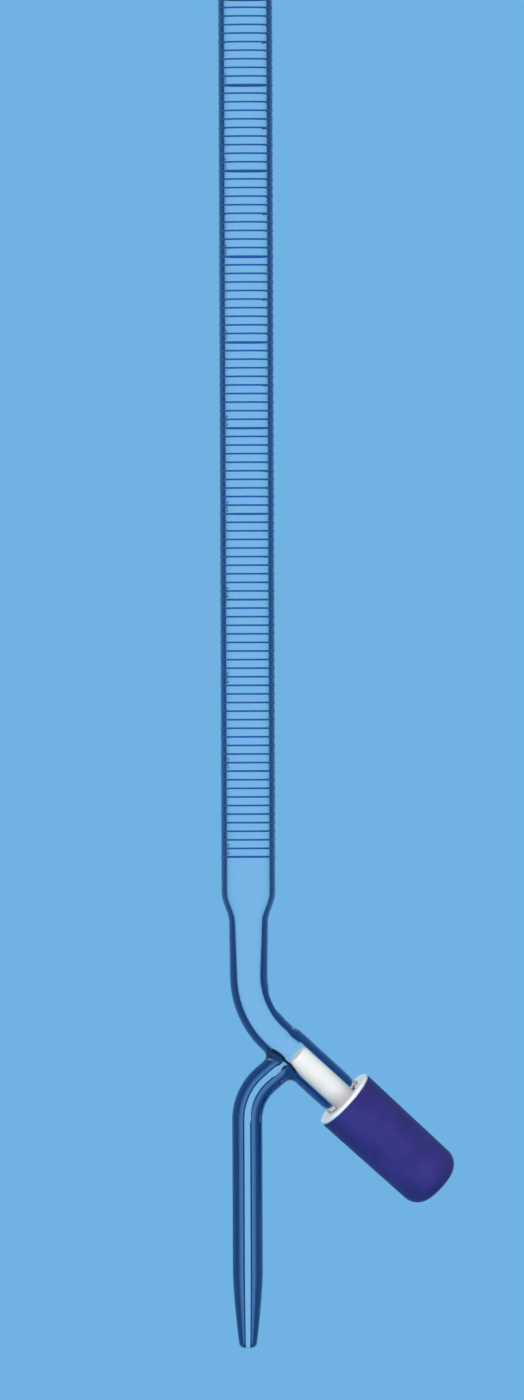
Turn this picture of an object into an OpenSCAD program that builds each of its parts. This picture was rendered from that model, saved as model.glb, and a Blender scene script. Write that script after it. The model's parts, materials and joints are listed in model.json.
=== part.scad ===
// Glass burette with an inclined screw needle valve, a drawn delivery jet and a plain mouth.
// +Z runs up the tube. The origin lies on the tube's axis, at the lower end of its straight wall.
// +X is the side that the valve's cap points to. The valve is drawn open, as it stands in use.

/* [Graduated tube] */
// Bore of the graduated tube
tube_bore = 8.63; // [7:0.01:12]
// Wall of the graduated tube
tube_wall = 1.085; // [0.8:0.005:1.6]
// Plain tube between the zero line and the rim
top_margin = 60; // [40:1:100]
// Plain tube between the last line and the shoulder
bottom_margin = 7; // [3:0.5:15]

/* [Scale] */
// Volume between the zero line and the last line, in millilitres
capacity_ml = 25; // [10:1:30]
// Volume of one division, in millilitres
division_ml = 0.1; // [0.1:0.01:0.2]
// Width of a line
line_width = 0.36; // [0.2:0.02:0.6]
// Thickness of the enamel
line_thick = 0.04; // [0.02:0.01:0.08]
// Arc of the short lines, in degrees
minor_arc = 190; // [150:5:220]
// Arc of the middle lines, in degrees
half_arc = 240; // [225:5:300]
// Direction that the middle of the lines faces, in degrees from +X
scale_facing = -90; // [-180:5:180]

/* [Neck and inlet] */
// Height of the shoulder between tube and neck
shoulder_len = 6.2; // [4:0.1:10]
// Straight neck below the shoulder
neck_len = 10.4; // [6:0.05:25]
// Bore of the neck
neck_bore = 5.5; // [4.8:0.1:6.5]
// Wall of the neck
neck_wall = 1.15; // [0.8:0.05:1.6]
// Radius of the inlet bend, on its centre line
inlet_bend_r = 16.5; // [10:0.5:20]
// Straight inlet between the bend and the valve barrel
inlet_len = 0.65; // [0.3:0.05:4]
// Bore of the inlet
inlet_bore = 4.7; // [4:0.1:5.5]
// Wall of the inlet
inlet_wall = 1.45; // [0.9:0.05:1.6]

/* [Valve barrel] */
// Angle of the valve below the horizontal
valve_angle = 42; // [30:1:55]
// Length of the barrel
barrel_len = 25.3; // [23:0.1:26]
// Bore that the plunger slides in
barrel_bore = 5.2; // [4.8:0.05:6.5]
// Wall of the barrel
barrel_wall = 1.55; // [1.2:0.05:2]
// Length over which the barrel opens out from the inlet
barrel_flare = 2.4; // [1:0.1:4]
// Distance from the start of the barrel to the seat
seat_inset = 2.7; // [2.4:0.05:3.4]
// Bore of the throat below the seat
throat_bore = 4.5; // [4:0.05:4.6]
// Distance from the seat to the side port, along the axis
port_inset = 1.9; // [1.5:0.05:2.4]

/* [Delivery jet] */
// Bore of the jet
jet_bore = 1.2; // [1:0.05:2]
// Wall of the jet
jet_wall = 2.45; // [1.5:0.05:2.6]
// Angle of the jet below the horizontal where it leaves the barrel
jet_angle = 40; // [30:1:48]
// Radius of the jet's bend, on its centre line
jet_bend_r = 10.5; // [6:0.1:12]
// Place of the upright jet, measured from the tube's axis along X
jet_x = -0.4; // [-3:0.1:1.5]
// Length of the upright jet, with its tip
jet_len = 45.5; // [30:0.1:80]
// Length of the drawn tip
tip_len = 15; // [8:0.5:25]
// Bore at the end of the tip
tip_bore = 0.9; // [0.6:0.05:1.2]
// Wall at the end of the tip
tip_wall = 1.25; // [0.9:0.05:1.4]
// Rounding of the tip's end
tip_round = 1; // [0.4:0.1:1.2]

/* [Plunger] */
// Lift of the plunger off its seat, as drawn
plunger_lift = 2.25; // [0:0.05:3.5]
// Gap around the plunger in the barrel
plunger_gap = 0.15; // [0.05:0.01:0.2]
// Length of the plunger from its face to its collar
plunger_len = 22.8; // [22:0.1:28]
// Length of the tapered nose
nose_len = 0.5; // [0.5:0.05:1]
// Radius by which the nose widens over its length
nose_flare = 0.2; // [0.1:0.05:0.25]
// Gap between the closed nose and its seat
seat_gap = 0.06; // [0.03:0.01:0.1]
// Gap between the closed plunger's face and the floor of the barrel
floor_gap = 0.3; // [0.2:0.05:0.4]
// Radius of the collar
collar_r = 5; // [4.6:0.05:5.2]
// Thickness of the collar
collar_thick = 2.3; // [1.5:0.1:3]
// Play of the collar between insert and cap
collar_play = 0.3; // [0.2:0.05:0.4]

/* [O-rings] */
// Section of an O-ring
ring_section = 1; // [0.8:0.05:1.2]
// Gap between an O-ring and the barrel
ring_gap = 0.03; // [0.02:0.01:0.05]
// Distance from the plunger's face to the front O-ring
front_ring_at = 14; // [12:0.1:15]
// Distance between the two O-rings
ring_spacing = 2.5; // [2:0.1:3]
// Width of a groove beyond its O-ring
groove_play = 0.3; // [0.1:0.05:0.5]

/* [Screw thread] */
// Rise of the thread in one turn
thread_pitch = 1.5; // [1.3:0.05:2]
// Height of the glass thread
thread_height = 0.5; // [0.4:0.05:0.6]
// Width of the glass thread at its foot
thread_foot = 0.8; // [0.6:0.05:0.9]
// Width of the glass thread at its crest
thread_crest = 0.3; // [0.2:0.05:0.4]
// Length of the glass thread along the barrel
thread_len = 5; // [4:0.1:6]
// Plain end of the barrel beyond the thread
thread_end = 0.5; // [0.4:0.1:1]
// Gap between the glass thread and the insert's thread
thread_gap = 0.15; // [0.12:0.01:0.2]

/* [Cap and insert] */
// Wall of the insert outside its thread
insert_wall = 0.8; // [0.6:0.05:1.2]
// Length of the insert inside the cap
insert_len = 9.35; // [8:0.05:11]
// Thickness of the insert's flange
flange_thick = 0.8; // [0.7:0.1:2.4]
// Distance of the flange's edge inside the cap's edge
flange_inset = 0.1; // [0:0.05:0.4]
// Wall of the cap at its mouth
cap_wall = 1.05; // [0.8:0.05:1.6]
// Length of the cap
cap_len = 25.75; // [20:0.25:32]
// Narrowing of the cap's radius from mouth to end
cap_taper = 0.25; // [0:0.05:0.6]
// Rounding of the cap's closed end
cap_round = 3.6; // [1.5:0.1:4.5]
// Wall of the cap's closed end
cap_end_wall = 2.8; // [1.5:0.1:4]
// Width of the ledge that the cap presses the collar with
ledge_width = 1.9; // [1:0.1:2.5]
// Rounding of the small edges on cap, flange and collar
edge_round = 0.3; // [0.1:0.05:0.4]

/* [Hidden] */
$fn = 96;

glass_colour = [0.72, 0.86, 0.95, 0.45];
line_colour = [0.10, 0.22, 0.48];
ptfe_colour = [0.94, 0.95, 0.94];
seal_colour = [0.12, 0.12, 0.13];
insert_colour = [0.88, 0.88, 0.92];
cap_colour = [0.24, 0.23, 0.52];

// Steps of a curved outline, and of one turn of thread
curve_steps = 12;
turn_steps = 24;
// Fall-off of the drawn tip: above 1, it narrows faster towards its end
tip_power = 1.4;
// Overlap that lets a cut run clear through a face
cut_through = 1;
// Part of a turn over which a thread rises at its ends
thread_run_in = 0.2;
// Share of its height that a thread starts with
thread_seed = 0.15;
// Lines from one long line to the next, and to the middle line
major_every = 10;
half_every = 5;

tube_r = tube_bore / 2 + tube_wall;
neck_r = neck_bore / 2 + neck_wall;
inlet_r = inlet_bore / 2 + inlet_wall;
barrel_r = barrel_bore / 2 + barrel_wall;
jet_r = jet_bore / 2 + jet_wall;
tip_r = tip_bore / 2 + tip_wall;

// The scale: one division's volume over the bore's area
bore_area = PI * pow(tube_bore / 2, 2);
line_pitch = 1000 * division_ml / bore_area;
line_count = round(capacity_ml / division_ml);
zero_z = bottom_margin + line_pitch * line_count;
tube_len = zero_z + top_margin;

// The inlet turns from straight down to the valve's direction
inlet_turn = 90 - valve_angle;
inlet_tangent = inlet_bend_r * tan(inlet_turn / 2);
bend_z = -(shoulder_len + neck_len);
elbow_z = bend_z - inlet_tangent;

// Distances along the valve's axis from the elbow, where it meets the tube's axis
barrel_start = inlet_tangent + inlet_len;
barrel_end = barrel_start + barrel_len;
seat_at = barrel_start + seat_inset;
floor_at = seat_at + nose_len - floor_gap;
port_at = seat_at + port_inset;
nose_at = seat_at + plunger_lift;
face_at = nose_at + nose_len;
collar_at = face_at + plunger_len;
collar_end = collar_at + collar_thick;
insert_end = collar_at - collar_play;
cap_mouth = insert_end - insert_len;
flange_at = cap_mouth - flange_thick;
ledge_at = collar_end + collar_play;
cap_end = cap_mouth + cap_len;
thread_start = barrel_end - thread_end - thread_len;

// The plunger's parts, sized from the barrel's bore and throat
plunger_r = barrel_bore / 2 - plunger_gap;
nose_r = throat_bore / 2 - seat_gap;
ring_r = barrel_bore / 2 - ring_gap - ring_section / 2;
groove_r = ring_r - ring_section / 2 - ring_gap;

// The insert's bore and thread, sized from the barrel's thread
thread_r = barrel_r + thread_height;
insert_bore_r = thread_r + thread_gap;
insert_r = insert_bore_r + insert_wall;
cap_r = insert_r + cap_wall;
cap_end_r = cap_r - cap_taper;
flange_r = cap_r - flange_inset;
core_r = insert_r - ledge_width;

// The jet leaves the barrel at the port and turns straight down at jet_x
jet_turn = 90 - jet_angle;
port_x = port_at * cos(valve_angle);
port_z = elbow_z - port_at * sin(valve_angle);
stub_len = (port_x - jet_x - jet_bend_r * (1 - cos(jet_turn))) / cos(jet_angle);
jet_top_z = port_z - stub_len * sin(jet_angle) - jet_bend_r * sin(jet_turn);
tip_z = jet_top_z - jet_len;

// S-shaped step from 0 to 1
function ease(t) = (1 - cos(180 * t)) / 2;

// Outline from one radius and height to another, along an S-curve
function ease_points(r1, z1, r2, z2) =
    [for (i = [0:curve_steps]) let (t = i / curve_steps) [r1 + (r2 - r1) * ease(t), z1 + (z2 - z1) * t]];

// Points of an arc about a centre
function arc_points(centre, r, from, to) =
    [for (i = [0:curve_steps]) let (a = from + (to - from) * i / curve_steps)
        centre + r * [cos(a), sin(a)]];

// Points of a line in reverse order
function backwards(points) = [for (i = [len(points) - 1:-1:0]) points[i]];

// Puts a piece drawn along +Z onto the valve's axis, from the elbow outwards
module on_valve() {
    translate([0, 0, elbow_z])
        rotate([0, 90 + valve_angle, 0])
            children();
}

// Puts a piece drawn along +Z onto the jet's first stretch, from the valve's axis outwards
module on_stub() {
    translate([port_x, 0, port_z])
        rotate([0, 270 - jet_angle, 0])
            children();
}

// Bent tube in the XZ plane, about a centre, from one direction through an angle
module bent_tube(centre_x, centre_z, bend_r, from, turn, outer_r, inner_r) {
    translate([centre_x, 0, centre_z])
        rotate([90, 0, 0])
            rotate([0, 0, from])
                rotate_extrude(angle = turn)
                    translate([bend_r, 0])
                        difference() {
                            circle(r = outer_r);
                            circle(r = inner_r);
                        }
}

// Helical ridge about +Z, from a foot outwards or inwards to a narrower crest, with ends that rise
module helical_ridge(start, length, foot_r, foot_w, crest_r, crest_w, phase) {
    turns = length / thread_pitch;
    steps = ceil(turns * turn_steps);
    sides = 4;
    hand = crest_r > foot_r ? 1 : -1;
    points = [
        for (i = [0:steps])
            let (
                turn = turns * i / steps,
                rise = min(1, thread_seed + min(turn, turns - turn) / thread_run_in),
                z = start + turn * thread_pitch,
                a = phase + 360 * z / thread_pitch,
                top_r = foot_r + (crest_r - foot_r) * rise
            )
            for (p = [[foot_r, -foot_w], [top_r, -crest_w], [top_r, crest_w], [foot_r, foot_w]])
                [p[0] * cos(a), p[0] * sin(a), z + hand * p[1] / 2]
    ];
    skin = [
        for (i = [0:steps - 1], j = [0:sides - 1])
            let (
                a = sides * i + j,
                b = sides * i + (j + 1) % sides
            )
            each [[a, b, b + sides], [a, b + sides, a + sides]]
    ];
    last = sides * steps;
    ends = [[3, 2, 1], [3, 1, 0], [last, last + 1, last + 2], [last, last + 2, last + 3]];
    polyhedron(points = points, faces = concat(skin, ends));
}

// Enamel line around the tube at one height
module enamel_line(z, arc) {
    translate([0, 0, z])
        rotate([0, 0, scale_facing - arc / 2])
            rotate_extrude(angle = arc)
                translate([tube_r, -line_width / 2])
                    square([line_thick, line_width]);
}

module graduated_tube() {
    rim_r = tube_wall / 2;
    color(glass_colour)
        rotate_extrude()
            polygon(concat(
                [[tube_bore / 2, 0], [tube_r, 0]],
                arc_points([tube_r - rim_r, tube_len - rim_r], rim_r, 0, 180)
            ));
}

module drawn_neck() {
    outside = ease_points(tube_r, 0, neck_r, -shoulder_len);
    inside = ease_points(tube_bore / 2, 0, neck_bore / 2, -shoulder_len);
    color(glass_colour)
        rotate_extrude()
            polygon(concat(
                outside,
                [[inlet_r, bend_z], [inlet_bore / 2, bend_z]],
                backwards(inside)
            ));
}

module inlet_bend() {
    color(glass_colour)
        bent_tube(inlet_bend_r, bend_z, inlet_bend_r, 180, inlet_turn, inlet_r, inlet_bore / 2);
}

// Outline of the barrel's glass, with the inlet's straight stretch
function barrel_outside() =
    let (end_r = barrel_wall / 2)
    concat(
        [[0, inlet_tangent], [inlet_r, inlet_tangent]],
        ease_points(inlet_r, barrel_start, barrel_r, barrel_start + barrel_flare),
        arc_points([barrel_r - end_r, barrel_end - end_r], end_r, 0, 90),
        [[0, barrel_end]]
    );

// Outline of the way through the barrel: inlet, throat, seat, floor and bore
function barrel_inside() =
    let (
        end_r = barrel_wall / 2,
        seat_r = throat_bore / 2,
        seat_flare = nose_flare * (floor_at - seat_at) / nose_len
    )
    concat(
        [[0, inlet_tangent - cut_through], [inlet_bore / 2, inlet_tangent - cut_through]],
        ease_points(inlet_bore / 2, barrel_start, seat_r, seat_at - floor_gap),
        [[seat_r, seat_at], [seat_r + seat_flare, floor_at], [barrel_bore / 2, floor_at]],
        backwards(arc_points([barrel_r - end_r, barrel_end - end_r], end_r, 90, 180)),
        [[0, barrel_end + cut_through]]
    );

module valve_barrel() {
    color(glass_colour)
        difference() {
            union() {
                on_valve()
                    rotate_extrude()
                        polygon(barrel_outside());
                on_stub()
                    cylinder(r = jet_r, h = stub_len);
            }
            on_valve()
                rotate_extrude()
                    polygon(barrel_inside());
            on_stub()
                cylinder(d = jet_bore, h = stub_len + cut_through);
        }
}

// Glass thread, with a foot wide enough that its straight steps stay outside the barrel's round wall
module barrel_thread() {
    foot_r = barrel_r / cos(180 / turn_steps);
    color(glass_colour)
        on_valve()
            helical_ridge(thread_start, thread_len, foot_r, thread_foot, thread_r, thread_crest, 0);
}

module jet_bend() {
    color(glass_colour)
        bent_tube(
            jet_x + jet_bend_r, jet_top_z, jet_bend_r, 180 - jet_turn, jet_turn, jet_r, jet_bore / 2
        );
}

module delivery_jet() {
    corner = [tip_r - tip_round, tip_z + tip_round];
    taper_len = tip_len - tip_round;
    taper = [
        for (i = [0:curve_steps])
            let (t = i / curve_steps)
            [jet_r + (tip_r - jet_r) * pow(t, tip_power), tip_z + tip_len - taper_len * t]
    ];
    color(glass_colour)
        translate([jet_x, 0, 0])
            rotate_extrude()
                polygon(concat(
                    [[jet_bore / 2, tip_z + tip_len], [jet_bore / 2, jet_top_z], [jet_r, jet_top_z]],
                    taper,
                    arc_points(corner, tip_round, 0, -90),
                    [[tip_bore / 2, tip_z]]
                ));
}

module minor_lines() {
    color(line_colour)
        for (k = [0:line_count])
            if (k % half_every != 0)
                enamel_line(zero_z - k * line_pitch, minor_arc);
}

module half_lines() {
    color(line_colour)
        for (k = [half_every:major_every:line_count])
            enamel_line(zero_z - k * line_pitch, half_arc);
}

module major_lines() {
    color(line_colour)
        for (k = [0:major_every:line_count])
            enamel_line(zero_z - k * line_pitch, 360);
}

// Groove for an O-ring, as the outline that is turned off the plunger
function groove_points(at) =
    let (half = (ring_section + groove_play) / 2)
    [[plunger_r, at - half], [groove_r, at - half], [groove_r, at + half], [plunger_r, at + half]];

module plunger() {
    front = face_at + front_ring_at;
    color(ptfe_colour)
        on_valve()
            rotate_extrude()
                polygon(concat(
                    [[0, nose_at], [nose_r, nose_at], [nose_r + nose_flare, face_at], [plunger_r, face_at]],
                    groove_points(front),
                    groove_points(front + ring_spacing),
                    [[plunger_r, collar_at]],
                    arc_points([collar_r - edge_round, collar_at + edge_round], edge_round, -90, 0),
                    arc_points([collar_r - edge_round, collar_end - edge_round], edge_round, 0, 90),
                    [[0, collar_end]]
                ));
}

// O-ring at a distance behind the plunger's face
module o_ring(at) {
    color(seal_colour)
        on_valve()
            translate([0, 0, face_at + at])
                rotate_extrude()
                    translate([ring_r, 0])
                        circle(d = ring_section);
}

module front_o_ring() {
    o_ring(front_ring_at);
}

module rear_o_ring() {
    o_ring(front_ring_at + ring_spacing);
}

module thread_insert() {
    color(insert_colour)
        on_valve()
            rotate_extrude()
                polygon(concat(
                    [[insert_bore_r, flange_at]],
                    arc_points([flange_r - edge_round, flange_at + edge_round], edge_round, -90, 0),
                    arc_points([flange_r - edge_round, cap_mouth - edge_round], edge_round, 0, 90),
                    [[insert_r, cap_mouth], [insert_r, insert_end], [insert_bore_r, insert_end]]
                ));
}

// Thread inside the insert: it fills the room that the glass thread leaves, half a turn round
module insert_thread() {
    foot_w = thread_pitch - thread_crest - 2 * thread_gap;
    crest_w = thread_pitch - thread_foot - 2 * thread_gap;
    color(insert_colour)
        on_valve()
            helical_ridge(
                flange_at + foot_w / 2, insert_end - flange_at - foot_w,
                insert_bore_r, foot_w, barrel_r + thread_gap, crest_w, 180
            );
}

module screw_cap() {
    color(cap_colour)
        on_valve()
            rotate_extrude()
                polygon(concat(
                    [[0, cap_end - cap_end_wall], [core_r, cap_end - cap_end_wall]],
                    [[core_r, ledge_at], [insert_r, ledge_at], [insert_r, cap_mouth]],
                    arc_points([cap_r - edge_round, cap_mouth + edge_round], edge_round, -90, 0),
                    arc_points([cap_end_r - cap_round, cap_end - cap_round], cap_round, 0, 90),
                    [[0, cap_end]]
                ));
}

graduated_tube();
drawn_neck();
inlet_bend();
valve_barrel();
barrel_thread();
jet_bend();
delivery_jet();
minor_lines();
half_lines();
major_lines();
plunger();
front_o_ring();
rear_o_ring();
thread_insert();
insert_thread();
screw_cap();
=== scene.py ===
"""Looks of a glass burette with an inclined needle valve."""

import json
import math

import bmesh
import bpy
import numpy as np
import openvdb
from mathutils import Matrix, Vector


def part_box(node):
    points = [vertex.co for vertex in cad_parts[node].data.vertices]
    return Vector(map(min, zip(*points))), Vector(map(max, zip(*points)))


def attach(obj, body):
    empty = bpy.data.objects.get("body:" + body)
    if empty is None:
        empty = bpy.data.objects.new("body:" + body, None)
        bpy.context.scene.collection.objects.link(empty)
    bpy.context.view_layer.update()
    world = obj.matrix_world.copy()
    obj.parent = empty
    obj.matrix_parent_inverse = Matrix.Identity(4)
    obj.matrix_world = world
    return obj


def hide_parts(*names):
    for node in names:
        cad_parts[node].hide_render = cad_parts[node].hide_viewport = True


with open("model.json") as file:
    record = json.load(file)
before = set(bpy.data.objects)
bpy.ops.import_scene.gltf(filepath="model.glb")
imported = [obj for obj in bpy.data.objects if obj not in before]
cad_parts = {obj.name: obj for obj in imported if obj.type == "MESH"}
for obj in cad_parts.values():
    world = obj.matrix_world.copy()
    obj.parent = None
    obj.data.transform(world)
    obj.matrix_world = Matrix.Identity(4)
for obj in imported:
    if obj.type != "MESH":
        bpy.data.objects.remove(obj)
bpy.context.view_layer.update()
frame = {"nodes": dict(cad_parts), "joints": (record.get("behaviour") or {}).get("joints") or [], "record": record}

MM = 0.001
nodes = frame["nodes"]
joints = {joint["name"]: joint for joint in frame["joints"]}
mounts = {mount["name"]: mount for mount in frame["record"]["mounts"]}

# Sizes of the straight tube and its scale, in mm
TUBE_R = mounts["tube_grip"]["dims"]["r_mm"]
TUBE_BORE_R = mounts["mouth"]["dims"]["r_mm"]
TUBE_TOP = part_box("graduated_tube")[1].z / MM
LINE_WIDTH = 0.36
DIVISION_MM3 = 100
DIVISIONS = 250
HALF_EVERY = 5
MAJOR_EVERY = 10
LINE_PITCH = DIVISION_MM3 / (math.pi * TUBE_BORE_R ** 2)
ZERO_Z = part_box("major_lines")[1].z / MM - LINE_WIDTH / 2
SCALE_FACING = -90
MINOR_ARC = 190
HALF_ARC = 240
FULL_CIRCLE = 360

# Sizes of the neck, the bends and the jet, in mm
SHOULDER_LEN = 6.2
NECK_R = 3.9
NECK_BORE_R = 2.75
INLET_R = 3.8
INLET_BORE_R = 2.35
BEND_R = 16.5
BEND_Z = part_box("inlet_bend")[1].z / MM
JET_R = 3.05
JET_BORE_R = 0.6
JET_BEND_R = 10.5
JET_ANGLE = math.radians(40)
JET_X = (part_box("delivery_jet")[0].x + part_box("delivery_jet")[1].x) / 2 / MM
JET_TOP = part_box("delivery_jet")[1].z / MM
TIP_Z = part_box("delivery_jet")[0].z / MM
TIP_LEN = 15.0
TIP_R = 1.7
TIP_BORE_R = 0.45
TIP_POWER = 1.4

# The valve's axis, from the elbow where the two straight axes would meet
VALVE_AXIS = Vector(joints["cap_turn"]["axis"]).normalized()
PIVOT = Vector(joints["cap_turn"]["pos_m"]) / MM
ELBOW = PIVOT - VALVE_AXIS * (PIVOT.x / VALVE_AXIS.x)
VALVE_ANGLE = math.asin(-VALVE_AXIS.z)


def reach_along_valve(node):
    """First and last distance of a node along the valve's axis and its largest radius, in mm."""
    mesh = nodes[node].data
    points = np.empty(len(mesh.vertices) * 3)
    mesh.vertices.foreach_get("co", points)
    offsets = points.reshape(-1, 3) / MM - np.array(ELBOW)
    along = offsets @ np.array(VALVE_AXIS)
    radii = np.linalg.norm(offsets - np.outer(along, VALVE_AXIS), axis=1)
    return along.min(), along.max(), radii.max()


# Stations along the valve's axis from the elbow, and sizes of barrel and thread, in mm
PLUNGER_START, COLLAR_END, COLLAR_R = reach_along_valve("plunger")
INSERT_START, INSERT_END, FLANGE_R = reach_along_valve("thread_insert")
CAP_START, CAP_END, CAP_R = reach_along_valve("screw_cap")
FRONT_RING = reach_along_valve("front_o_ring")
REAR_RING = reach_along_valve("rear_o_ring")
BARREL_END = reach_along_valve("valve_barrel")[1]
BARREL_START = 7.996
BARREL_R = 4.15
BARREL_BORE_R = 2.6
BARREL_FLARE = 2.4
THROAT_R = 2.25
THROAT_LEN = 0.3
SEAT_START = 10.696
SEAT_END = 11.696
PORT_AT = 12.596
THREAD_START = 27.796
THREAD_END = 32.796
THREAD_PITCH = 1.5
THREAD_HEIGHT = 0.5
THREAD_FOOT = 0.8
THREAD_CREST = 0.3
THREAD_PHASE = 0.5
THREAD_RUNOUT = 1
PORT = ELBOW + VALVE_AXIS * PORT_AT
STUB_AXIS = Vector((-math.cos(JET_ANGLE), 0, -math.sin(JET_ANGLE)))


# Distance fields of the glass, in mm: negative inside
def ease(start, end, value):
    """Smooth step from 0 at start to 1 at end."""
    share = np.clip((value - start) / (end - start), 0, 1)
    return (1 - np.cos(np.pi * share)) / 2


def blend_min(first, second, width):
    """The lesser of two fields with a fillet of about the given width."""
    nearness = np.maximum(width - np.abs(first - second), 0) / width
    return np.minimum(first, second) - nearness * nearness * width / 4


def blend_max(first, second, width):
    """The greater of two fields with a rounding of about the given width."""
    return -blend_min(-first, -second, width)


INLET_TANGENT = BEND_Z - ELBOW.z
BEND_TURN = math.pi / 2 - VALVE_ANGLE
BEND_LEN = BEND_R * BEND_TURN
RIM_WIDTH = 0.9
TIP_WIDTH = 1.2
EDGE_WIDTH = 0.5
FILLET = 1.6
PORT_FILLET = 0.3


def thread_offset(along, turn):
    """Distance along the axis from the nearest turn of the right-hand thread."""
    turns = along / THREAD_PITCH + turn / (2 * np.pi) - THREAD_PHASE
    return np.abs(turns - np.round(turns)) * THREAD_PITCH


def thread_height(along, turn):
    """Height of the barrel's outside thread at a distance along the axis and an angle round it."""
    flank = (THREAD_FOOT / 2 - thread_offset(along, turn)) / (THREAD_FOOT / 2 - THREAD_CREST / 2)
    run_in = ease(THREAD_START, THREAD_START + THREAD_RUNOUT, along)
    run_out = ease(THREAD_END, THREAD_END - THREAD_RUNOUT, along)
    return THREAD_HEIGHT * np.clip(flank, 0, 1) * (run_in * run_out)


def main_path(x, y, z):
    """Station along the middle line, distance from it, distance along the valve and turn round it."""
    across = x * math.sin(VALVE_ANGLE) + (z - ELBOW.z) * math.cos(VALVE_ANGLE)
    along = x * VALVE_AXIS.x + (z - ELBOW.z) * VALVE_AXIS.z
    turn = np.arctan2(BEND_Z - z, BEND_R - x)
    in_tube = z > BEND_Z
    in_barrel = ~in_tube & (along > INLET_TANGENT)
    bend_distance = np.hypot(np.hypot(x - BEND_R, z - BEND_Z) - BEND_R, y)
    lower_distance = np.where(in_barrel, np.hypot(across, y), bend_distance)
    distance = np.where(in_tube, np.hypot(x, y), lower_distance)
    lower_station = np.where(in_barrel, BEND_LEN + along - INLET_TANGENT, BEND_R * turn)
    station = np.where(in_tube, BEND_Z - z, lower_station)
    return station, distance, along, np.arctan2(y, across)


def main_radii(station, along, turn):
    """Outside and inside radius of the tube, the neck, the inlet bend and the barrel."""
    height = BEND_Z - station
    shoulder = ease(0, -SHOULDER_LEN, height)
    neck_end = np.clip((-SHOULDER_LEN - height) / (-SHOULDER_LEN - BEND_Z), 0, 1)
    outside = TUBE_R + (NECK_R - TUBE_R) * shoulder + (INLET_R - NECK_R) * neck_end
    inside = TUBE_BORE_R + (NECK_BORE_R - TUBE_BORE_R) * shoulder + (INLET_BORE_R - NECK_BORE_R) * neck_end
    past_bend = station > BEND_LEN
    flare = ease(BARREL_START, BARREL_START + BARREL_FLARE, along)
    barrel = INLET_R + (BARREL_R - INLET_R) * flare + thread_height(along, turn)
    throat = ease(BARREL_START, SEAT_START - THROAT_LEN, along)
    seat = ease(SEAT_START, SEAT_END, along)
    bore = INLET_BORE_R + (THROAT_R - INLET_BORE_R) * throat + (BARREL_BORE_R - THROAT_R) * seat
    return np.where(past_bend, barrel, outside), np.where(past_bend, bore, inside)


def jet_path(x, y, z):
    """Distance from the jet's middle line, through its stub, its bend and its straight tube."""
    beside = np.maximum((x - PORT.x) * STUB_AXIS.x + (z - PORT.z) * STUB_AXIS.z, 0)
    stub_x = x - PORT.x - beside * STUB_AXIS.x
    stub_z = z - PORT.z - beside * STUB_AXIS.z
    stub = np.sqrt(stub_x ** 2 + y * y + stub_z ** 2)
    centre_x = JET_X + JET_BEND_R
    turn = np.arctan2(z - JET_TOP, centre_x - x)
    bend = np.hypot(np.hypot(x - centre_x, z - JET_TOP) - JET_BEND_R, y)
    straight = np.hypot(x - JET_X, y)
    in_jet = z < JET_TOP
    in_bend = ~in_jet & (turn < math.pi / 2 - JET_ANGLE) & (x < centre_x)
    return np.where(in_jet, straight, np.where(in_bend, bend, stub))


def jet_radii(z):
    """Outside and inside radius of the jet at a height."""
    share = np.clip((TIP_Z + TIP_LEN - z) / TIP_LEN, 0, 1) ** TIP_POWER
    return JET_R + (TIP_R - JET_R) * share, JET_BORE_R + (TIP_BORE_R - JET_BORE_R) * share


def glass_field(x, y, z):
    """Distance field of all the glass, fused into one piece."""
    station, distance, along, turn = main_path(x, y, z)
    outside, inside = main_radii(station, along, turn)
    jet_distance = jet_path(x, y, z)
    jet_outside, jet_inside = jet_radii(z)
    body = blend_max(distance - outside, z - TUBE_TOP, RIM_WIDTH)
    body = blend_max(body, along - BARREL_END, RIM_WIDTH)
    jet = blend_max(jet_distance - jet_outside, TIP_Z - z, TIP_WIDTH)
    hollow = blend_min(distance - inside, jet_distance - jet_inside, PORT_FILLET)
    return blend_max(blend_min(body, jet, FILLET), -hollow, EDGE_WIDTH)


# Mesh of the glass
FINE = 0.17
COARSE = 6.0
GROWTH = 1.25
MARGIN = 0.8
FINE_UP_TO = 1.0
FINE_BELOW_RIM = 1.5
SLAB_PLANES = 32
FIELD_REACH = FINE * 3
GRADIENT_STEP = 0.004
LEAST_STEEPNESS = 0.2
SETTLE_STEPS = 3


def height_planes():
    """Heights of the sampling planes: close together at the valve and the mouth, far apart between."""
    lower = list(np.arange(TIP_Z - MARGIN, FINE_UP_TO, FINE))
    upper = list(np.arange(TUBE_TOP + MARGIN, TUBE_TOP - FINE_BELOW_RIM, -FINE))
    step = FINE
    while upper[-1] - lower[-1] > 2 * COARSE:
        step = min(step * GROWTH, COARSE)
        lower.append(lower[-1] + step)
        upper.append(upper[-1] - step)
    middle = [(lower[-1] + upper[-1]) / 2]
    return np.array(lower + middle + upper[::-1])


def gradient(points):
    """Gradient of the glass field at points, by central differences."""
    columns = []
    for axis in range(3):
        step = np.zeros(3)
        step[axis] = GRADIENT_STEP
        ahead = glass_field(*(points + step).T)
        behind = glass_field(*(points - step).T)
        columns.append((ahead - behind) / (2 * GRADIENT_STEP))
    return np.stack(columns, axis=1)


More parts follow.
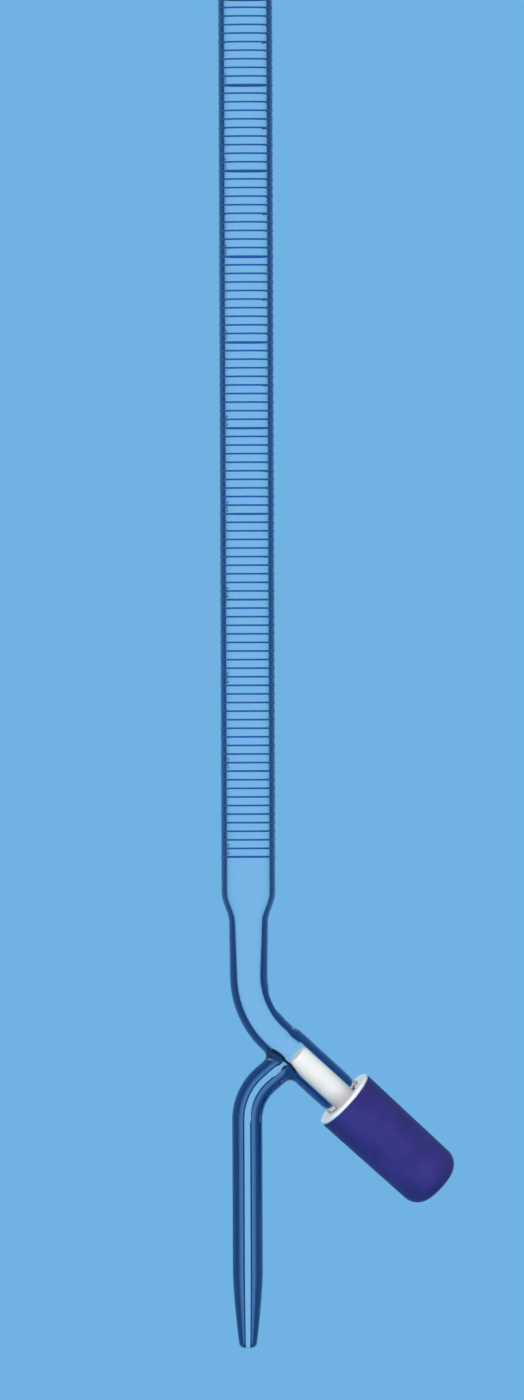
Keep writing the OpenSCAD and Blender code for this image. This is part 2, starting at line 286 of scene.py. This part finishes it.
def glass_surface():
    """Vertices in mm, quads and outward normals of the glass."""
    barrel_mouth = ELBOW + VALVE_AXIS * BARREL_END
    planes = [
        np.arange(-TUBE_R - MARGIN, barrel_mouth.x + BARREL_R + MARGIN, FINE),
        np.arange(-TUBE_R - MARGIN, TUBE_R + MARGIN, FINE),
        height_planes(),
    ]
    x, y, z = np.meshgrid(*planes, indexing="ij", sparse=True)
    slabs = []
    for start in range(0, z.shape[2], SLAB_PLANES):
        part = z[:, :, start:start + SLAB_PLANES]
        slabs.append(glass_field(*np.broadcast_arrays(x, y, part)))
    samples = np.concatenate(slabs, axis=2).astype(np.float32)
    grid = openvdb.FloatGrid()
    grid.background = FIELD_REACH
    grid.copyFromArray(np.clip(samples, -FIELD_REACH, FIELD_REACH))
    found, quads = grid.convertToQuads(0)
    points = np.empty((len(found), 3))
    for axis in range(3):
        points[:, axis] = np.interp(found[:, axis], np.arange(len(planes[axis])), planes[axis])
    for _ in range(SETTLE_STEPS):
        slope = gradient(points)
        steepness = np.maximum((slope * slope).sum(axis=1), LEAST_STEEPNESS)
        move = glass_field(*points.T) / steepness
        points = points - slope * np.clip(move, -FINE, FINE)[:, None]
    slope = gradient(points)
    return points, quads, slope / np.linalg.norm(slope, axis=1)[:, None]


def add_object(name, mesh, material):
    """Links a new object with one material."""
    piece = bpy.data.objects.new(name, mesh)
    mesh.materials.append(material)
    bpy.context.scene.collection.objects.link(piece)
    return piece


def mesh_from_quads(name, points, quads):
    """Smooth mesh from arrays of points in mm and quads."""
    mesh = bpy.data.meshes.new(name)
    mesh.vertices.add(len(points))
    mesh.vertices.foreach_set("co", (points * MM).ravel())
    mesh.loops.add(quads.size)
    mesh.loops.foreach_set("vertex_index", quads.ravel())
    mesh.polygons.add(len(quads))
    mesh.polygons.foreach_set("loop_start", np.arange(0, quads.size, 4))
    mesh.polygons.foreach_set("use_smooth", np.ones(len(quads), dtype=bool))
    mesh.update()
    return mesh


# Turned pieces
SHARP_ANGLE = math.radians(35)
ON_AXIS = 1e-6


def arc(centre_r, centre_d, radius, start, end, steps):
    """Points of an arc in the (radius, distance) plane, angles in degrees from the outward direction."""
    angles = [math.radians(start + (end - start) * i / steps) for i in range(steps + 1)]
    return [(centre_r + radius * math.cos(a), centre_d + radius * math.sin(a)) for a in angles]


def turned_mesh(name, profile, closed, segments, ridge=None):
    """Mesh of a profile of (radius, distance) points turned about the valve's axis, in metres."""
    across = Vector((math.sin(VALVE_ANGLE), 0, math.cos(VALVE_ANGLE)))
    side = across.cross(VALVE_AXIS)
    shape = bmesh.new()
    rings = []
    for radius, distance in profile:
        centre = ELBOW + VALVE_AXIS * distance
        if radius < ON_AXIS:
            rings.append([shape.verts.new(centre * MM)])
            continue
        ring = []
        for i in range(segments):
            turn = 2 * math.pi * i / segments
            grown = radius if ridge is None else ridge(radius, distance, turn)
            outward = across * math.cos(turn) + side * math.sin(turn)
            ring.append(shape.verts.new((centre + outward * grown) * MM))
        rings.append(ring)
    pairs = list(zip(rings, rings[1:]))
    if closed:
        pairs.append((rings[-1], rings[0]))
    for first, second in pairs:
        for i in range(segments):
            corners = [first[i % len(first)], first[(i + 1) % len(first)]]
            corners += [second[(i + 1) % len(second)], second[i % len(second)]]
            unique = list(dict.fromkeys(corners))
            shape.faces.new(unique)
    bmesh.ops.recalc_face_normals(shape, faces=shape.faces[:])
    mesh = bpy.data.meshes.new(name)
    shape.to_mesh(mesh)
    shape.free()
    mesh.polygons.foreach_set("use_smooth", np.ones(len(mesh.polygons), dtype=bool))
    mesh.set_sharp_from_angle(angle=SHARP_ANGLE)
    return mesh


# Sizes of the plunger, the insert and the cap, in mm
PLUNGER_R = 2.45
NOSE_LEN = 0.5
NOSE_R = 2.19
NOSE_FLARE = 0.2
COLLAR_THICK = 2.3
RING_SECTION = 1.0
GROOVE_R = 1.54
GROOVE_LEN = 1.3
RING_R = 2.07
INSERT_R = 5.6
INSERT_BORE_R = 4.3
FLANGE_THICK = 0.8
THREAD_PLAY = 0.15
CAP_TIP_R = 6.4
CAP_CORE_R = 3.7
CAP_ROUND = 3.6
CAP_END_WALL = 2.8
LEDGE = 0.3
EDGE = 0.3
EDGE_STEPS = 6
GROOVE_SOFT = 0.1
PLUNGER_SOFT = 0.12
SOFT_STEPS = 4
NOSE_RELIEF = 0.05
FLANGE_STEP = 0.02
BORE_POINTS = 120
BORE_TOLERANCE = 0.01
SEAL_STEPS = 24
CAP_MOUTH_STEPS = 8
CAP_END_STEPS = 24
PLUNGER_SEGMENTS = 128
SEAL_SEGMENTS = 72
INSERT_SEGMENTS = 144
CAP_SEGMENTS = 160


def groove(centre):
    """Profile of an O-ring groove with softened edges."""
    half = GROOVE_LEN / 2
    soft = GROOVE_SOFT
    points = arc(PLUNGER_R - soft, centre - half - soft, soft, 0, 90, SOFT_STEPS)
    points += arc(GROOVE_R + soft, centre - half + soft, soft, 270, 180, SOFT_STEPS)
    points += arc(GROOVE_R + soft, centre + half - soft, soft, 180, 90, SOFT_STEPS)
    points += arc(PLUNGER_R - soft, centre + half + soft, soft, 270, 360, SOFT_STEPS)
    return points


def plunger_profile():
    """Profile of the PTFE plunger with its nose, grooves and collar."""
    face = PLUNGER_START + NOSE_LEN
    soft = PLUNGER_SOFT
    collar_start = COLLAR_END - COLLAR_THICK
    points = [(0, PLUNGER_START)]
    points += arc(NOSE_R - soft, PLUNGER_START + soft, soft, 270, 340, SOFT_STEPS)
    points += [(NOSE_R + NOSE_FLARE - NOSE_RELIEF, face)]
    points += arc(PLUNGER_R - soft, face + soft, soft, 270, 360, SOFT_STEPS)
    points += groove((FRONT_RING[0] + FRONT_RING[1]) / 2)
    points += groove((REAR_RING[0] + REAR_RING[1]) / 2)
    points += arc(PLUNGER_R + soft, collar_start - soft, soft, 180, 90, SOFT_STEPS)
    points += arc(COLLAR_R - EDGE, collar_start + EDGE, EDGE, 270, 360, EDGE_STEPS)
    points += arc(COLLAR_R - EDGE, COLLAR_END - EDGE, EDGE, 0, 90, EDGE_STEPS)
    points += [(0, COLLAR_END)]
    return points


def seal_profile(reach):
    """Round section of an O-ring, one step short of its start because turning closes it."""
    centre = (reach[0] + reach[1]) / 2
    last = FULL_CIRCLE - FULL_CIRCLE / SEAL_STEPS
    return arc(RING_R, centre, RING_SECTION / 2, 0, last, SEAL_STEPS - 1)


def insert_profile():
    """Profile of the threaded insert: flange, sleeve and bore."""
    flange_end = INSERT_START + FLANGE_THICK
    points = arc(FLANGE_R - EDGE, INSERT_START + EDGE, EDGE, 270, 360, EDGE_STEPS)
    points += arc(FLANGE_R - EDGE, flange_end - EDGE, EDGE, 0, 90, EDGE_STEPS)
    points += [(INSERT_R, flange_end + FLANGE_STEP)]
    points += arc(INSERT_R - EDGE, INSERT_END - EDGE, EDGE, 0, 90, EDGE_STEPS)
    for i in range(BORE_POINTS + 1):
        points.append((INSERT_BORE_R, INSERT_END - (INSERT_END - INSERT_START) * i / BORE_POINTS))
    return points


def insert_thread(radius, distance, turn):
    """Cuts the female thread into the insert's bore."""
    if radius > INSERT_BORE_R + BORE_TOLERANCE:
        return radius
    offset = thread_offset(distance, turn)
    flank = (THREAD_FOOT / 2 + THREAD_PLAY - offset) / (THREAD_FOOT / 2 - THREAD_CREST / 2)
    return radius + THREAD_HEIGHT * min(max(flank, 0), 1)


def cap_profile():
    """Profile of the moulded cap: stepped inside, tapered skirt and rounded end."""
    ledge = COLLAR_END + LEDGE
    core_end = CAP_END - CAP_END_WALL
    points = [(0, core_end), (CAP_CORE_R, core_end), (CAP_CORE_R, ledge)]
    points += [(INSERT_R, ledge), (INSERT_R, CAP_START)]
    points += arc(CAP_R - EDGE, CAP_START + EDGE, EDGE, 270, 360, CAP_MOUTH_STEPS)
    points += arc(CAP_TIP_R - CAP_ROUND, CAP_END - CAP_ROUND, CAP_ROUND, 0, 90, CAP_END_STEPS)
    points += [(0, CAP_END)]
    return points


# Enamel lines and numbers of the scale
ENAMEL_FOOT = 0.004
ENAMEL_THICK = 0.034
ENAMEL_DROP = 0.01
ENAMEL_BEVEL = 0.04
ARC_STEP = 3


def band_mesh(name, heights, span):
    """Closed thin bands of enamel round the tube, one for each height."""
    shape = bmesh.new()
    count = round(span / ARC_STEP)
    whole = span >= FULL_CIRCLE
    inner = TUBE_R + ENAMEL_FOOT
    outer = TUBE_R + ENAMEL_THICK
    half = LINE_WIDTH / 2
    section = [(inner, -half), (outer - ENAMEL_DROP, -half), (outer, -half + ENAMEL_BEVEL)]
    section += [(outer, half - ENAMEL_BEVEL), (outer - ENAMEL_DROP, half), (inner, half)]
    for height in heights:
        rows = []
        for i in range(count if whole else count + 1):
            angle = math.radians(SCALE_FACING - span / 2 + span * i / count)
            row = []
            for radius, rise in section:
                place = (radius * math.cos(angle) * MM, radius * math.sin(angle) * MM, (height + rise) * MM)
                row.append(shape.verts.new(place))
            rows.append(row)
        pairs = list(zip(rows, rows[1:]))
        if whole:
            pairs.append((rows[-1], rows[0]))
        else:
            shape.faces.new(rows[0])
            shape.faces.new(rows[-1][::-1])
        for first, second in pairs:
            for j in range(len(section)):
                k = (j + 1) % len(section)
                shape.faces.new((first[j], first[k], second[k], second[j]))
    bmesh.ops.recalc_face_normals(shape, faces=shape.faces[:])
    mesh = bpy.data.meshes.new(name)
    shape.to_mesh(mesh)
    shape.free()
    mesh.polygons.foreach_set("use_smooth", np.ones(len(mesh.polygons), dtype=bool))
    mesh.set_sharp_from_angle(angle=SHARP_ANGLE)
    return mesh


NUMBER_HEIGHT = 2.2
DIGIT_SHARE = 0.72
NUMBER_RISE = 0.5
NUMBER_FACING = 151
NUMBER_NARROW = 0.82
SLICE = 0.25
WELD = 0.002


def number_mesh(name):
    """Millilitre numbers of the scale, wrapped round the tube above their lines."""
    joined = bmesh.new()
    for value in range(0, DIVISIONS // MAJOR_EVERY + 1):
        curve = bpy.data.curves.new("number", "FONT")
        curve.body = str(value)
        curve.size = NUMBER_HEIGHT / DIGIT_SHARE
        curve.align_x = "CENTER"
        curve.extrude = (ENAMEL_THICK - ENAMEL_FOOT) / 2
        text = bpy.data.objects.new("number", curve)
        bpy.context.scene.collection.objects.link(text)
        flat = bpy.data.meshes.new_from_object(text.evaluated_get(bpy.context.evaluated_depsgraph_get()))
        bpy.data.objects.remove(text)
        bpy.data.curves.remove(curve)
        shape = bmesh.new()
        shape.from_mesh(flat)
        bpy.data.meshes.remove(flat)
        low = min(v.co.x for v in shape.verts)
        high = max(v.co.x for v in shape.verts)
        cut = low + SLICE
        while cut < high:
            parts = shape.verts[:] + shape.edges[:] + shape.faces[:]
            bmesh.ops.bisect_plane(shape, geom=parts, plane_co=(cut, 0, 0), plane_no=(1, 0, 0))
            cut += SLICE
        base = ZERO_Z - value * MAJOR_EVERY * LINE_PITCH + NUMBER_RISE
        for vert in shape.verts:
            radius = TUBE_R + (ENAMEL_FOOT + ENAMEL_THICK) / 2 + vert.co.z
            angle = math.radians(NUMBER_FACING) + vert.co.x * NUMBER_NARROW / TUBE_R
            height = base + vert.co.y
            vert.co = (radius * math.cos(angle) * MM, radius * math.sin(angle) * MM, height * MM)
        wrapped = bpy.data.meshes.new("number")
        shape.to_mesh(wrapped)
        shape.free()
        joined.from_mesh(wrapped)
        bpy.data.meshes.remove(wrapped)
    bmesh.ops.remove_doubles(joined, verts=joined.verts[:], dist=WELD * MM)
    mesh = bpy.data.meshes.new(name)
    joined.to_mesh(mesh)
    joined.free()
    return mesh


# Colours and materials
def linear(red, green, blue):
    """Linear colour from 8-bit screen values."""
    shares = [value / 255 for value in (red, green, blue)]
    steps = [s / 12.92 if s <= 0.04045 else ((s + 0.055) / 1.055) ** 2.4 for s in shares]
    return (steps[0], steps[1], steps[2], 1)


BACKDROP = linear(112, 178, 227)
GLOW = linear(128, 192, 242)
SHADE = linear(4, 48, 108)
SHADE_SOFT = linear(70, 116, 174)
INDIGO = linear(57, 51, 119)
INDIGO_DARK = linear(47, 42, 105)
ENAMEL_BLUE = linear(36, 82, 150)
ENAMEL_DARK = linear(26, 64, 128)
PTFE_WHITE = linear(250, 252, 248)
PTFE_GREY = linear(241, 243, 242)
# Painted shade on the plunger: its colour darkens between these distances along the valve's axis, in mm, where the
# insert's flange shades it
PTFE_PAINTED_SHADE = linear(208, 199, 205)
PAINTED_SHADE_FROM = 21.6
PAINTED_SHADE_TO = 26.4
INSERT_WHITE = linear(239, 239, 240)
INSERT_GREY = linear(230, 229, 233)
RUBBER = linear(30, 30, 33)
RUBBER_DULL = linear(44, 44, 48)
FLOOR_PALE = linear(126, 188, 233)
FLOOR_DEEP = linear(118, 182, 229)
GLASS_TINT = (0.97, 0.985, 0.985, 1)
GLASS_IOR = 1.474
NOISE_LOW = 0.3
NOISE_HIGH = 0.7


def link(tree, source, output, target, socket):
    """Joins one node's output to another node's input."""
    tree.links.new(source.outputs[output], target.inputs[socket])


def calculate(tree, operation, first, second=None):
    """Math node on a socket and a number or socket."""
    node = tree.nodes.new("ShaderNodeMath")
    node.operation = operation
    tree.links.new(first, node.inputs[0])
    if isinstance(second, (int, float)):
        node.inputs[1].default_value = second
    elif second is not None:
        tree.links.new(second, node.inputs[1])
    return node.outputs[0]


def dot_with(tree, coordinates, direction):
    """Dot product of a texture coordinate and a fixed direction."""
    place = tree.nodes.new("ShaderNodeTexCoord")
    node = tree.nodes.new("ShaderNodeVectorMath")
    node.operation = "DOT_PRODUCT"
    node.inputs[1].default_value = direction
    link(tree, place, coordinates, node, 0)
    return node.outputs["Value"]


def smooth_step(tree, value, start, end):
    """Smooth step of a socket from 0 at start to 1 at end."""
    node = tree.nodes.new("ShaderNodeMapRange")
    node.interpolation_type = "SMOOTHSTEP"
    node.inputs["From Min"].default_value = start
    node.inputs["From Max"].default_value = end
    tree.links.new(value, node.inputs["Value"])
    return node.outputs["Result"]


def mix_colours(tree, share, first, second):
    """Mixes two colours or colour sockets by a socket."""
    node = tree.nodes.new("ShaderNodeMix")
    node.data_type = "RGBA"
    tree.links.new(share, node.inputs["Factor"])
    colour_inputs = [socket for socket in node.inputs if socket.type == "RGBA"]
    for socket, colour in zip(colour_inputs, (first, second)):
        if isinstance(colour, tuple):
            socket.default_value = colour
        else:
            tree.links.new(colour, socket)
    return [socket for socket in node.outputs if socket.type == "RGBA"][0]


def object_noise(tree, scale, detail, stretch=(1, 1, 1)):
    """Noise in the object's own coordinates, stretched along its axes."""
    place = tree.nodes.new("ShaderNodeTexCoord")
    mapping = tree.nodes.new("ShaderNodeMapping")
    mapping.inputs["Scale"].default_value = stretch
    noise = tree.nodes.new("ShaderNodeTexNoise")
    noise.inputs["Scale"].default_value = scale
    noise.inputs["Detail"].default_value = detail
    link(tree, place, "Object", mapping, "Vector")
    link(tree, mapping, "Vector", noise, "Vector")
    return noise


def spread(tree, noise, socket_node, socket, low, high):
    """Feeds noise into a number socket between two values."""
    ranged = tree.nodes.new("ShaderNodeMapRange")
    ranged.inputs["From Min"].default_value = NOISE_LOW
    ranged.inputs["From Max"].default_value = NOISE_HIGH
    ranged.inputs["To Min"].default_value = low
    ranged.inputs["To Max"].default_value = high
    link(tree, noise, "Fac", ranged, "Value")
    link(tree, ranged, "Result", socket_node, socket)


def tint(tree, noise, shader, first, second):
    """Feeds noise into the base colour between two colours."""
    ramp = tree.nodes.new("ShaderNodeValToRGB")
    ramp.color_ramp.elements[0].position = NOISE_LOW
    ramp.color_ramp.elements[0].color = first
    ramp.color_ramp.elements[1].position = NOISE_HIGH
    ramp.color_ramp.elements[1].color = second
    link(tree, noise, "Fac", ramp, "Fac")
    link(tree, ramp, "Color", shader, "Base Color")


def rub(tree, shader, colour, start, end):
    """Paints shade: fades the base colour into another one between two distances along the valve's axis, in mm."""
    elbow_at = ELBOW.dot(VALVE_AXIS)
    distance = dot_with(tree, "Object", VALVE_AXIS)
    share = smooth_step(tree, distance, (start + elbow_at) * MM, (end + elbow_at) * MM)
    base = shader.inputs["Base Color"]
    tree.links.new(mix_colours(tree, share, base.links[0].from_socket, colour), base)


def relief(tree, noise, shader, height):
    """Fine bumps from noise, with a height in metres."""
    bump = tree.nodes.new("ShaderNodeBump")
    bump.inputs["Distance"].default_value = height
    link(tree, noise, "Fac", bump, "Height")
    link(tree, bump, "Normal", shader, "Normal")


def new_material(name):
    """Node material with one principled shader."""
    material = bpy.data.materials.new(name)
    material.use_nodes = True
    return material, material.node_tree, material.node_tree.nodes["Principled BSDF"]


def glass_material():
    """Clear borosilicate glass with faint drawing marks along the tube."""
    material, tree, shader = new_material("borosilicate_glass")
    shader.inputs["Base Color"].default_value = GLASS_TINT
    shader.inputs["Transmission Weight"].default_value = 1
    shader.inputs["IOR"].default_value = GLASS_IOR
    streaks = object_noise(tree, scale=500, detail=2, stretch=(1, 1, 0.02))
    spread(tree, streaks, shader, "Roughness", low=0.0, high=0.02)
    return material


def enamel_material():
    """Fired dark blue enamel, slightly uneven."""
    material, tree, shader = new_material("scale_enamel")
    grain = object_noise(tree, scale=2500, detail=3)
    tint(tree, grain, shader, ENAMEL_DARK, ENAMEL_BLUE)
    spread(tree, grain, shader, "Roughness", low=0.3, high=0.45)
    relief(tree, grain, shader, height=0.000004)
    return material


def ptfe_material():
    """Waxy white PTFE with fine turning marks, with shade painted darker towards the cap's insert."""
    material, tree, shader = new_material("turned_ptfe")
    cloud = object_noise(tree, scale=320, detail=3)
    tint(tree, cloud, shader, PTFE_GREY, PTFE_WHITE)
    # Painted shade: the plunger turns darker towards the insert's flange, where the flange shades it
    rub(tree, shader, PTFE_PAINTED_SHADE, PAINTED_SHADE_FROM, PAINTED_SHADE_TO)
    spread(tree, cloud, shader, "Roughness", low=0.38, high=0.5)
    shader.inputs["Subsurface Weight"].default_value = 0.25
    shader.inputs["Subsurface Radius"].default_value = (1, 1, 1)
    shader.inputs["Subsurface Scale"].default_value = 0.0006
    marks = object_noise(tree, scale=6000, detail=2)
    relief(tree, marks, shader, height=0.000006)
    return material


def insert_material():
    """Moulded white plastic of the cap's insert."""
    material, tree, shader = new_material("moulded_white")
    cloud = object_noise(tree, scale=420, detail=3)
    tint(tree, cloud, shader, INSERT_GREY, INSERT_WHITE)
    spread(tree, cloud, shader, "Roughness", low=0.35, high=0.48)
    grain = object_noise(tree, scale=5000, detail=2)
    relief(tree, grain, shader, height=0.000006)
    return material


def cap_material():
    """Indigo moulded plastic with a satin grain."""
    material, tree, shader = new_material("indigo_plastic")
    cloud = object_noise(tree, scale=260, detail=4)
    tint(tree, cloud, shader, INDIGO_DARK, INDIGO)
    spread(tree, cloud, shader, "Roughness", low=0.4, high=0.52)
    shader.inputs["Specular IOR Level"].default_value = 0.12
    grain = object_noise(tree, scale=4200, detail=3)
    relief(tree, grain, shader, height=0.00001)
    return material


def seal_material():
    """Black elastomer with a dull bloom."""
    material, tree, shader = new_material("black_elastomer")
    bloom = object_noise(tree, scale=900, detail=4)
    tint(tree, bloom, shader, RUBBER, RUBBER_DULL)
    spread(tree, bloom, shader, "Roughness", low=0.5, high=0.7)
    relief(tree, bloom, shader, height=0.000008)
    return material


# Pieces
def add_piece(name, mesh, material, body, slot, *replaced):
    """Adds a finished piece that rides on a body and stands for CAD nodes."""
    piece = add_object(name, mesh, material)
    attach(piece, body)
    if replaced:
        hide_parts(*replaced)
    return piece


glass_points, glass_quads, glass_normals = glass_surface()
glass_mesh = mesh_from_quads("glass", glass_points, glass_quads)
glass_mesh.normals_split_custom_set_from_vertices(glass_normals)
GLASS_NODES = (
    "graduated_tube", "drawn_neck", "inlet_bend", "valve_barrel", "barrel_thread",
    "jet_bend", "delivery_jet",
)
glass = add_piece("burette_glass", glass_mesh, glass_material(), "glass", "glass", *GLASS_NODES)
glass.visible_shadow = False

enamel = enamel_material()
steps = range(DIVISIONS + 1)
minor = [ZERO_Z - k * LINE_PITCH for k in steps if k % HALF_EVERY]
half = [ZERO_Z - k * LINE_PITCH for k in steps if k % HALF_EVERY == 0 and k % MAJOR_EVERY]
major = [ZERO_Z - k * LINE_PITCH for k in steps if k % MAJOR_EVERY == 0]
add_piece("enamel_minor", band_mesh("minor", minor, MINOR_ARC), enamel, "glass", "enamel", "minor_lines")
add_piece("enamel_half", band_mesh("half", half, HALF_ARC), enamel, "glass", "enamel", "half_lines")
add_piece("enamel_major", band_mesh("major", major, FULL_CIRCLE), enamel, "glass", "enamel", "major_lines")
add_piece("enamel_numbers", number_mesh("numbers"), enamel, "glass", "enamel")

plunger_mesh = turned_mesh("plunger", plunger_profile(), False, PLUNGER_SEGMENTS)
add_piece("needle_plunger", plunger_mesh, ptfe_material(), "needle", "ptfe", "plunger")
rubber = seal_material()
front_mesh = turned_mesh("front_seal", seal_profile(FRONT_RING), True, SEAL_SEGMENTS)
add_piece("needle_seal_front", front_mesh, rubber, "needle", "seal", "front_o_ring")
rear_mesh = turned_mesh("rear_seal", seal_profile(REAR_RING), True, SEAL_SEGMENTS)
add_piece("needle_seal_rear", rear_mesh, rubber, "needle", "seal", "rear_o_ring")
insert_mesh = turned_mesh("insert", insert_profile(), True, INSERT_SEGMENTS, insert_thread)
add_piece("cap_insert", insert_mesh, insert_material(), "cap", "insert", "thread_insert", "insert_thread")
cap_mesh = turned_mesh("cap", cap_profile(), False, CAP_SEGMENTS)
add_piece("cap_shell", cap_mesh, cap_material(), "cap", "cap", "screw_cap")

# Camera at the photograph's viewing angle
VIEW_AZIMUTH = math.radians(-12.5)
VIEW_ROLL = math.radians(-0.21)
VIEW_HEIGHT = 279.2 * MM
VIEW_DISTANCE = 4.0
VIEW_RIGHT = 2.86 * MM
VIEW_LEVEL = 38.26 * MM
SENSOR = 36
forward = Vector((-math.sin(VIEW_AZIMUTH), math.cos(VIEW_AZIMUTH), 0))
right = Vector((math.cos(VIEW_AZIMUTH), math.sin(VIEW_AZIMUTH), 0))
camera_data = bpy.data.cameras.new("camera")
camera_data.sensor_width = SENSOR
camera_data.lens = SENSOR * VIEW_DISTANCE / VIEW_HEIGHT
camera = bpy.data.objects.new("camera", camera_data)
bpy.context.scene.collection.objects.link(camera)
aim = right * VIEW_RIGHT + Vector((0, 0, VIEW_LEVEL))
facing = forward.to_track_quat("-Z", "Y").to_matrix().to_4x4()
placed = Matrix.Translation(aim - forward * VIEW_DISTANCE) @ facing
camera.matrix_world = placed @ Matrix.Rotation(VIEW_ROLL, 4, "Z")
bpy.context.scene.camera = camera

# Floor
FLOOR_DROP = 0.18
FLOOR_R = 1.5
FLOOR_SEGMENTS = 96
FLOOR_GLOW = 0.15
floor_shape = bmesh.new()
bmesh.ops.create_circle(floor_shape, cap_ends=True, radius=FLOOR_R, segments=FLOOR_SEGMENTS)
floor_mesh = bpy.data.meshes.new("floor")
floor_shape.to_mesh(floor_mesh)
floor_shape.free()
floor_material, floor_tree, floor_shader = new_material("pale_floor")
paper = object_noise(floor_tree, scale=60, detail=5)
tint(floor_tree, paper, floor_shader, FLOOR_DEEP, FLOOR_PALE)
spread(floor_tree, paper, floor_shader, "Roughness", low=0.8, high=0.95)
floor_shader.inputs["Emission Color"].default_value = BACKDROP
floor_rays = floor_tree.nodes.new("ShaderNodeLightPath")
floor_glow = calculate(floor_tree, "MULTIPLY", floor_rays.outputs["Is Camera Ray"], FLOOR_GLOW)
floor_tree.links.new(floor_glow, floor_shader.inputs["Emission Strength"])
floor = add_object("floor", floor_mesh, floor_material)
floor.location.z = TIP_Z * MM - FLOOR_DROP
floor.visible_transmission = False
floor.visible_glossy = False

# Soft lamps
LAMP_DISTANCE = 1.4


def soft_lamp(name, direction, size, watts):
    """Square area lamp that faces the frame's origin, where the tube's shoulder starts."""
    data = bpy.data.lights.new(name, "AREA")
    data.shape = "SQUARE"
    data.size = size
    data.energy = watts
    data.cycles.use_multiple_importance_sampling = False
    lamp = bpy.data.objects.new(name, data)
    bpy.context.scene.collection.objects.link(lamp)
    away = Vector(direction).normalized()
    lamp.location = away * LAMP_DISTANCE
    lamp.rotation_mode = "QUATERNION"
    lamp.rotation_quaternion = (-away).to_track_quat("-Z", "Y")
    lamp.visible_transmission = False
    lamp.visible_glossy = False


soft_lamp("key", right * 0.1 - forward * 0.95 + Vector((0, 0, 0.35)), size=1.2, watts=16)
soft_lamp("fill", right * -0.4 - forward * 0.9 + Vector((0, 0, 0.1)), size=0.7, watts=8)
soft_lamp("back", right * -0.4 + forward * 0.9 + Vector((0, 0, 0.4)), size=0.9, watts=10)

# World: pale blue studio that the glass shows too, with darker sides that draw the edges of the glass
world = bpy.data.worlds.new("studio")
bpy.context.scene.world = world
world.use_nodes = True
sky = world.node_tree
background = sky.nodes["Background"]


def ray_along(direction):
    """Cosine between a ray and a fixed direction."""
    return dot_with(sky, "Generated", direction)


def apart_from(axis):
    """How much a ray's cosine with an axis differs from that of the view."""
    difference = calculate(sky, "SUBTRACT", ray_along(axis), forward.dot(axis))
    return calculate(sky, "ABSOLUTE", difference)


# Cosines, slopes and path depths at which the shades begin and end
FLAG_START = math.cos(math.radians(13))
FLAG_END = math.cos(math.radians(27))
LEVEL_START, LEVEL_END = -0.3, -0.18
STEEP_START, STEEP_END = -0.42, -0.52
BAND_START, BAND_END = 0.26, 0.16
AWAY_START, AWAY_END = -0.25, -0.1
ONCE = 0.5
THROUGH_WALL = 2.5
DIFFUSE_LIGHT = (0.2, 0.205, 0.21, 1)
BEND_AXIS = (STUB_AXIS + Vector((0, 0, -1))).normalized()

# Shades by the ray's direction
onward = ray_along(forward)
ahead = calculate(sky, "ABSOLUTE", onward)
sideways = calculate(sky, "ABSOLUTE", ray_along(right))
flags = smooth_step(sky, calculate(sky, "MAXIMUM", ahead, sideways), FLAG_START, FLAG_END)
rise = ray_along((0, 0, 1))
level = smooth_step(sky, rise, LEVEL_START, LEVEL_END)
steep = smooth_step(sky, rise, STEEP_START, STEEP_END)
beside_jet = calculate(sky, "MINIMUM", apart_from(STUB_AXIS), apart_from(BEND_AXIS))
below_bend = smooth_step(sky, beside_jet, BAND_START, BAND_END)
below_valve = smooth_step(sky, apart_from(VALVE_AXIS), BAND_START, BAND_END)
below_valve = calculate(sky, "MULTIPLY", below_valve, steep)
away = smooth_step(sky, onward, AWAY_START, AWAY_END)
below = calculate(sky, "MULTIPLY", calculate(sky, "MAXIMUM", below_bend, below_valve), away)

# Shades by the ray's path through the glass
rays = sky.nodes.new("ShaderNodeLightPath")
mirrored = calculate(sky, "GREATER_THAN", rays.outputs["Glossy Depth"], ONCE)
refracted = calculate(sky, "GREATER_THAN", rays.outputs["Transmission Depth"], ONCE)
past_bore = calculate(sky, "GREATER_THAN", rays.outputs["Transmission Depth"], THROUGH_WALL)
scattered = calculate(sky, "GREATER_THAN", rays.outputs["Diffuse Depth"], ONCE)
in_wall = calculate(sky, "SUBTRACT", refracted, past_bore)
turned_back = calculate(sky, "MULTIPLY", mirrored, refracted)
shaded_wall = calculate(sky, "MULTIPLY", in_wall, calculate(sky, "MAXIMUM", level, below))
wall_shade = mix_colours(sky, flags, SHADE_SOFT, SHADE)
seen_in_glass = mix_colours(sky, shaded_wall, GLOW, wall_shade)
flagged = mix_colours(sky, turned_back, seen_in_glass, SHADE)
lit = mix_colours(sky, scattered, flagged, DIFFUSE_LIGHT)
shown = mix_colours(sky, rays.outputs["Is Camera Ray"], lit, BACKDROP)
sky.links.new(shown, background.inputs["Color"])
background.inputs["Strength"].default_value = 1
bpy.context.scene.view_settings.view_transform = "Standard"
